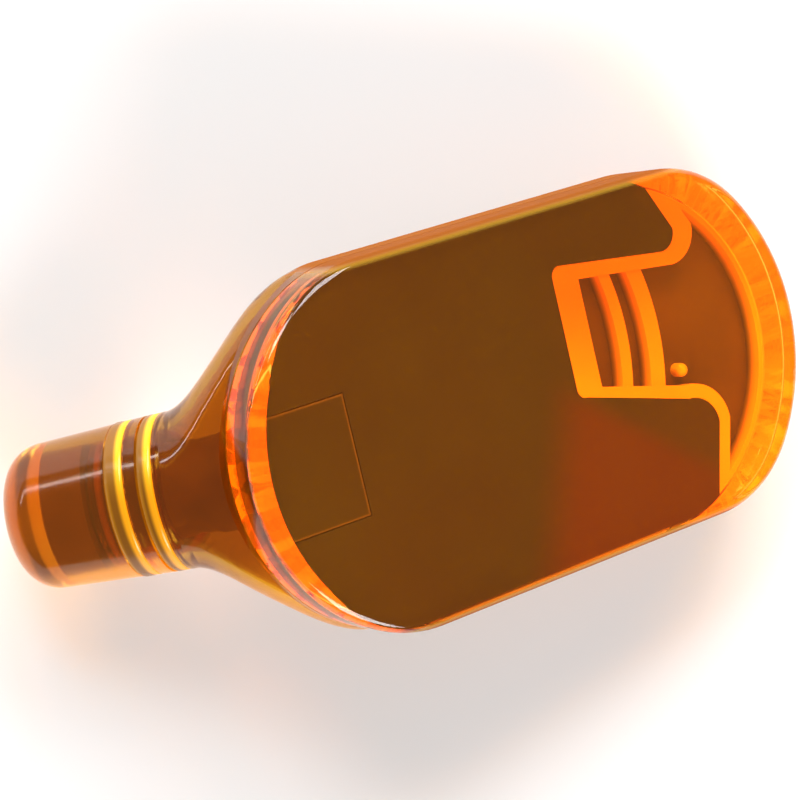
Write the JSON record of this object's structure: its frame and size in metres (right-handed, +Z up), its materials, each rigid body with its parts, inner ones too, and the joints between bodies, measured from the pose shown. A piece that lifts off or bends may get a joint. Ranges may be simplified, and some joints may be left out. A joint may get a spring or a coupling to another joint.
{
  "type": "darkroom safelight",
  "caption": "Flat amber lamp head with a rounded window and dark filter, on a short round neck angled back that holds a battery under a screw cap.",
  "frame": {"origin": "on the bench, under the middle of the object's box, with the neck's tip and the far lower edge resting on the bench", "axes": "+X from the neck towards the far end, +Y across the head, +Z up; the window's normal leans towards +X"},
  "size_m": [0.1688, 0.072, 0.053],
  "materials": {
    "clear_amber": "clear polished amber acrylic, tinted through",
    "nylon_amber": "moulded nylon",
    "seal_orange": "clear orange silicone",
    "steel": "plated",
    "dark_tray": "dark brown light-tight moulding",
    "dark_filter": "dark brown-amber safelight filter",
    "amber_sheet": "amber backing sheet",
    "orange_plastic": "translucent bright orange moulding",
    "bright_ring": "bright amber moulding",
    "board": "circuit board laminate",
    "aluminium": "plain",
    "led_body": "amber lamp package",
    "pilot_yellow": "yellow indicator lens",
    "black_plastic": "moulded package",
    "lead_red": "insulated lead",
    "lead_black": "insulated lead",
    "cell_wrap": "sleeved steel can",
    "brass": "contact metal"
  },
  "bodies": {
    "head": {"front_lens": "clear_amber", "lens_gasket": "seal_orange", "rear_housing": "clear_amber", "housing_screws": "nylon_amber", "rear_tray": "dark_tray", "filter_sheet": "dark_filter", "cover_panel": "dark_filter", "diffuser_sheet": "amber_sheet", "lamp_carrier": "orange_plastic", "carrier_mask": "dark_tray", "led_board": "board", "heat_spreader": "aluminium", "board_screw": "steel", "leds": "led_body", "pilot_lamp": "pilot_yellow", "driver_board": "board", "driver_chip": "black_plastic", "driver_inductor": "black_plastic", "driver_capacitors": "aluminium", "driver_resistors": "black_plastic", "lead_positive": "lead_red", "lead_negative": "lead_black", "battery_lead_positive": "lead_red", "battery_lead_negative": "lead_black", "neck_liner": "dark_tray", "battery_cell": "cell_wrap", "inner_contact": "brass", "contact_spring": "steel", "neck_o_ring": "seal_orange", "neck_ring": "bright_ring"},
    "plunger": {"plunger": "brass", "plunger_spring": "steel"},
    "cap": {"end_cap": "clear_amber", "cap_core": "dark_tray", "cap_ring": "bright_ring"}
  },
  "joints": [
    {"name": "plunger_slide", "type": "slide", "parent": "head", "child": "plunger", "axis": [-0.8839, 0, -0.4676], "range_m": [0, 0.002]},
    {"name": "cap_twist", "type": "hinge", "parent": "plunger", "child": "cap", "pos_m": [-0.06899, 0, 0.01599], "axis": [-0.8839, 0, -0.4676], "range_deg": [0, 360]}
  ],
  "couplings": [
    {"joint": "plunger_slide", "follows": "cap_twist", "m_per_rad": 0.0003183}
  ]
}
